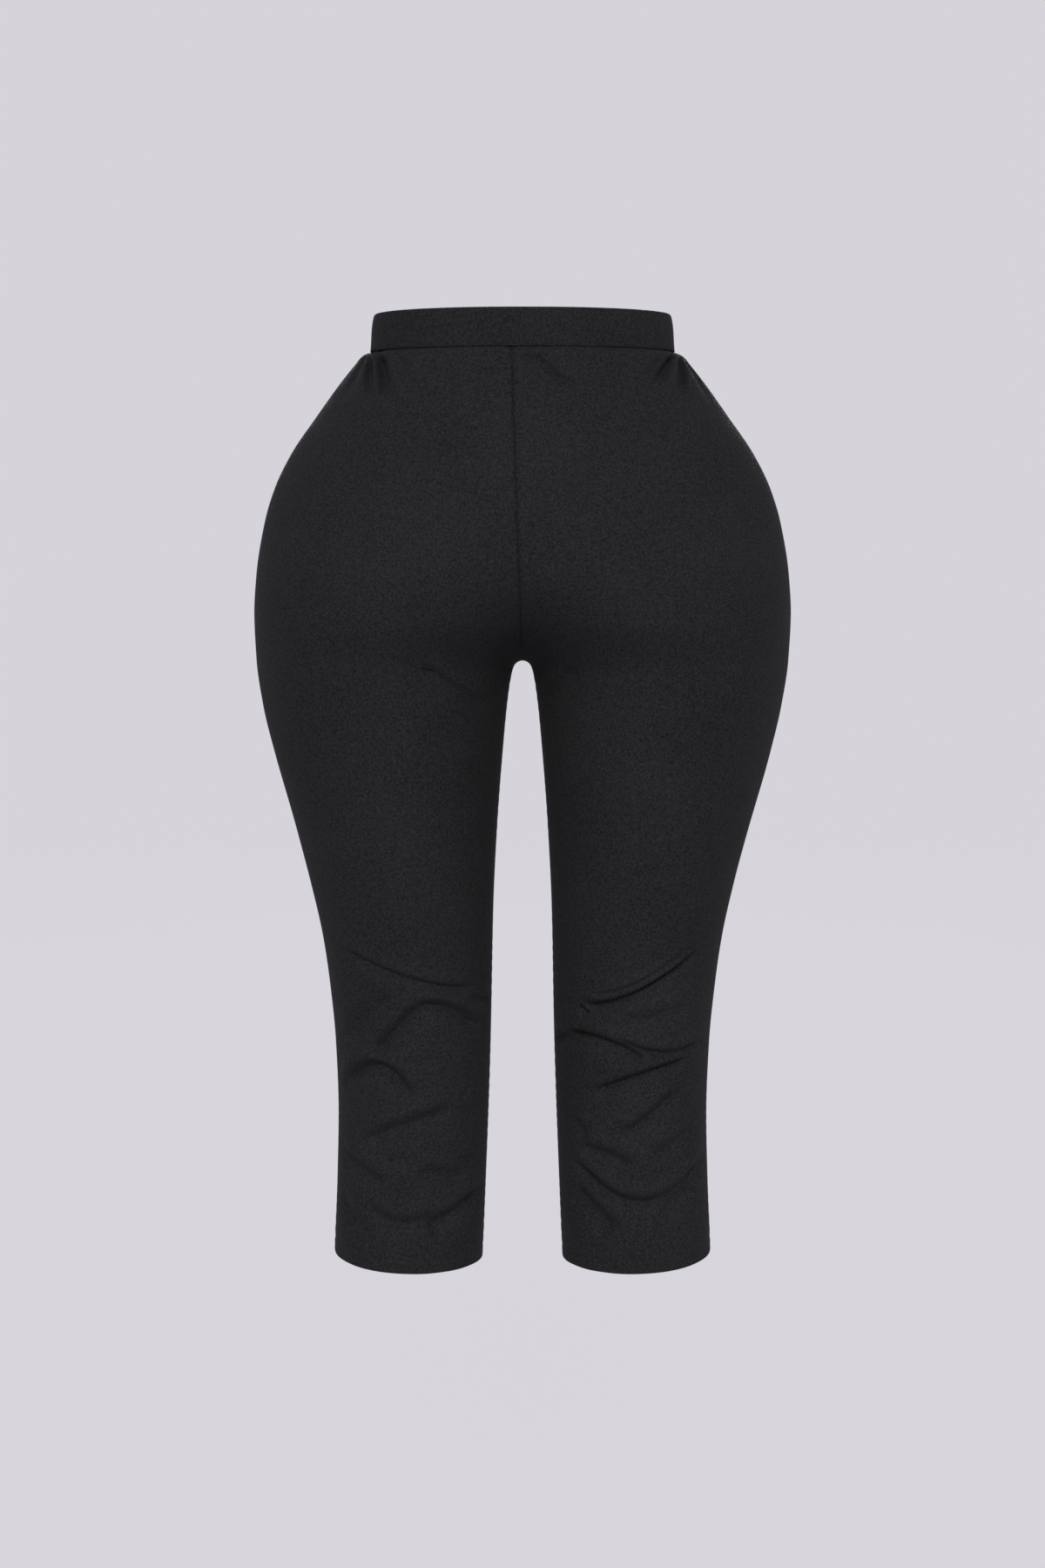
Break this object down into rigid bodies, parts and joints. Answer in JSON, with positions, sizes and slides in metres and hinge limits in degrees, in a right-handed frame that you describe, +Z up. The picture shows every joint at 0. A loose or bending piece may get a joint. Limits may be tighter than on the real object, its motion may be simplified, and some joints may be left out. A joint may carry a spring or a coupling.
{
  "type": "capri pants",
  "caption": "High-waisted pull-on capri pants in matte black crepe knit, filled out as worn, hollow and open at the waist and both hems.",
  "frame": {"origin": "middle of the waist opening, half way up the waistband, where the wearer's waist holds the garment up", "axes": "+Z up towards the waist, -Y towards the garment's back, +Y towards its front, +X towards the wearer's right leg"},
  "size_m": [0.4376, 0.2462, 0.7785],
  "materials": {
    "crepe": "matte black crepe knit with a fine pebbled grain and a faint sheen at grazing angles"
  },
  "bodies": {
    "root": {"waistband_back": "crepe", "waistband_front": "crepe", "back_left": "crepe", "back_right": "crepe", "front_left": "crepe", "front_right": "crepe"}
  },
  "joints": []
}
